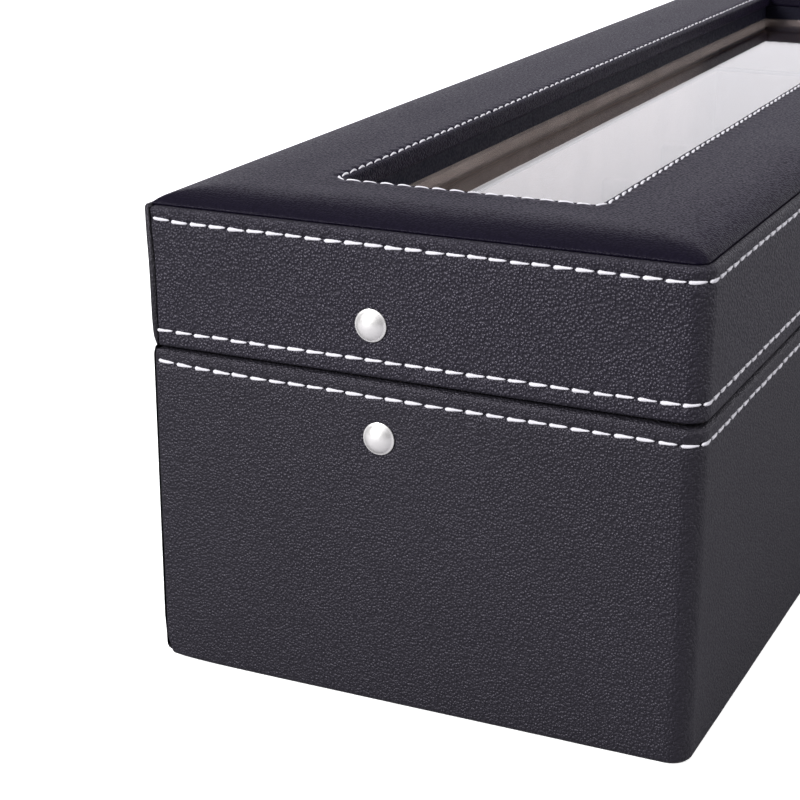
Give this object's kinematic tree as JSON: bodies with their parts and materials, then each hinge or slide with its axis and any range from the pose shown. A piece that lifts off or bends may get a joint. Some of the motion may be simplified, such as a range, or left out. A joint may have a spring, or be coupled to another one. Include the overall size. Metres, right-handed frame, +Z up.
{
  "type": "watch box",
  "caption": "Long low leather-covered watch box with a hinged lid, a glass window in a padded top, white stitching, end rivets, a front tab and cushions in divided places.",
  "frame": {"origin": "middle of the underside, at the centre of the leather-covered base's footprint", "axes": "+X along the length, -Y towards the front with the tab, +Y towards the hinged back, +Z up out of the window"},
  "size_m": [0.333, 0.1047, 0.0886],
  "materials": {
    "side_leather": "matte, fine pebble grain",
    "top_leather": "soft satin, very fine grain",
    "thread": "twisted sewing thread",
    "foam": "soft foam",
    "felt": "felted",
    "glass": "clear, polished",
    "fibreboard": "raw, matte",
    "nickel": "satin nickel plate",
    "stay_steel": "brushed, nickel plated",
    "velvet": "short-pile velvet"
  },
  "bodies": {
    "base": {"base_bottom_board": "fibreboard", "base_front_board": "fibreboard", "base_back_board": "fibreboard", "base_left_board": "fibreboard", "base_right_board": "fibreboard", "base_leather": "side_leather", "base_stitching": "thread", "base_felt": "felt", "floor_lining": "velvet", "base_front_lining": "velvet", "base_back_lining": "velvet", "base_left_lining": "velvet", "base_right_lining": "velvet", "base_rivets": "nickel", "back_cover_base": "side_leather", "catch_plate": "nickel", "divider_1": "velvet", "divider_2": "velvet", "divider_3": "velvet", "divider_4": "velvet", "divider_5": "velvet"},
    "lid": {"lid_front_board": "fibreboard", "lid_back_board": "fibreboard", "lid_left_board": "fibreboard", "lid_right_board": "fibreboard", "lid_top_board": "side_leather", "lid_leather": "side_leather", "lid_lower_stitching": "thread", "lid_upper_stitching": "thread", "top_pad_board": "fibreboard", "top_padding": "foam", "top_leather": "top_leather", "window_stitching": "thread", "window_glass": "glass", "glass_frame": "velvet", "lid_front_lining": "velvet", "lid_back_lining": "velvet", "lid_left_lining": "velvet", "lid_right_lining": "velvet", "lid_rivets": "nickel", "back_cover_lid": "side_leather", "tab_anchor": "side_leather", "tab_rivet": "nickel"},
    "tab": {"clasp_tab": "side_leather", "tab_button": "nickel"},
    "left_lower_stay": {"left_lower_link": "stay_steel", "left_link_pin": "stay_steel"},
    "left_upper_stay": {"left_upper_link": "stay_steel", "left_link_cap": "stay_steel"},
    "right_lower_stay": {"right_lower_link": "stay_steel", "right_link_pin": "stay_steel"},
    "right_upper_stay": {"right_upper_link": "stay_steel", "right_link_cap": "stay_steel"},
    "cushion_1": {"cushion_1": "velvet"},
    "cushion_2": {"cushion_2": "velvet"},
    "cushion_3": {"cushion_3": "velvet"},
    "cushion_4": {"cushion_4": "velvet"},
    "cushion_5": {"cushion_5": "velvet"},
    "cushion_6": {"cushion_6": "velvet"}
  },
  "joints": [
    {"name": "lid_hinge", "type": "hinge", "parent": "base", "child": "lid", "pos_m": [0, 0.04955, 0.0602], "axis": [-1, 0, 0], "range_deg": [0, 95]},
    {"name": "tab_hinge", "type": "hinge", "parent": "lid", "child": "tab", "pos_m": [0, -0.0513, 0.0662], "axis": [-1, 0, 0], "range_deg": [0, 90]},
    {"name": "left_lower_stay_pivot", "type": "hinge", "parent": "base", "child": "left_lower_stay", "pos_m": [-0.157, 0.006, 0.0495], "axis": [-1, 0, 0], "range_deg": [0, 105.7]},
    {"name": "left_upper_stay_pivot", "type": "hinge", "parent": "lid", "child": "left_upper_stay", "pos_m": [-0.157, 0.0074, 0.0692], "axis": [-1, 0, 0], "range_deg": [-114.3, 0]},
    {"name": "right_lower_stay_pivot", "type": "hinge", "parent": "base", "child": "right_lower_stay", "pos_m": [0.157, 0.006, 0.0495], "axis": [-1, 0, 0], "range_deg": [0, 105.7]},
    {"name": "right_upper_stay_pivot", "type": "hinge", "parent": "lid", "child": "right_upper_stay", "pos_m": [0.157, 0.0074, 0.0692], "axis": [-1, 0, 0], "range_deg": [-114.3, 0]},
    {"name": "cushion_1_lift", "type": "slide", "parent": "base", "child": "cushion_1", "axis": [0, 0, 1], "range_m": [0, 0.02]},
    {"name": "cushion_2_lift", "type": "slide", "parent": "base", "child": "cushion_2", "axis": [0, 0, 1], "range_m": [0, 0.02]},
    {"name": "cushion_3_lift", "type": "slide", "parent": "base", "child": "cushion_3", "axis": [0, 0, 1], "range_m": [0, 0.02]},
    {"name": "cushion_4_lift", "type": "slide", "parent": "base", "child": "cushion_4", "axis": [0, 0, 1], "range_m": [0, 0.02]},
    {"name": "cushion_5_lift", "type": "slide", "parent": "base", "child": "cushion_5", "axis": [0, 0, 1], "range_m": [0, 0.02]},
    {"name": "cushion_6_lift", "type": "slide", "parent": "base", "child": "cushion_6", "axis": [0, 0, 1], "range_m": [0, 0.02]}
  ],
  "couplings": [
    {"joint": "left_lower_stay_pivot", "follows": "lid_hinge", "ratio": 1.1091},
    {"joint": "left_upper_stay_pivot", "follows": "lid_hinge", "ratio": -1.1995},
    {"joint": "right_lower_stay_pivot", "follows": "lid_hinge", "ratio": 1.1091},
    {"joint": "right_upper_stay_pivot", "follows": "lid_hinge", "ratio": -1.1995}
  ]
}
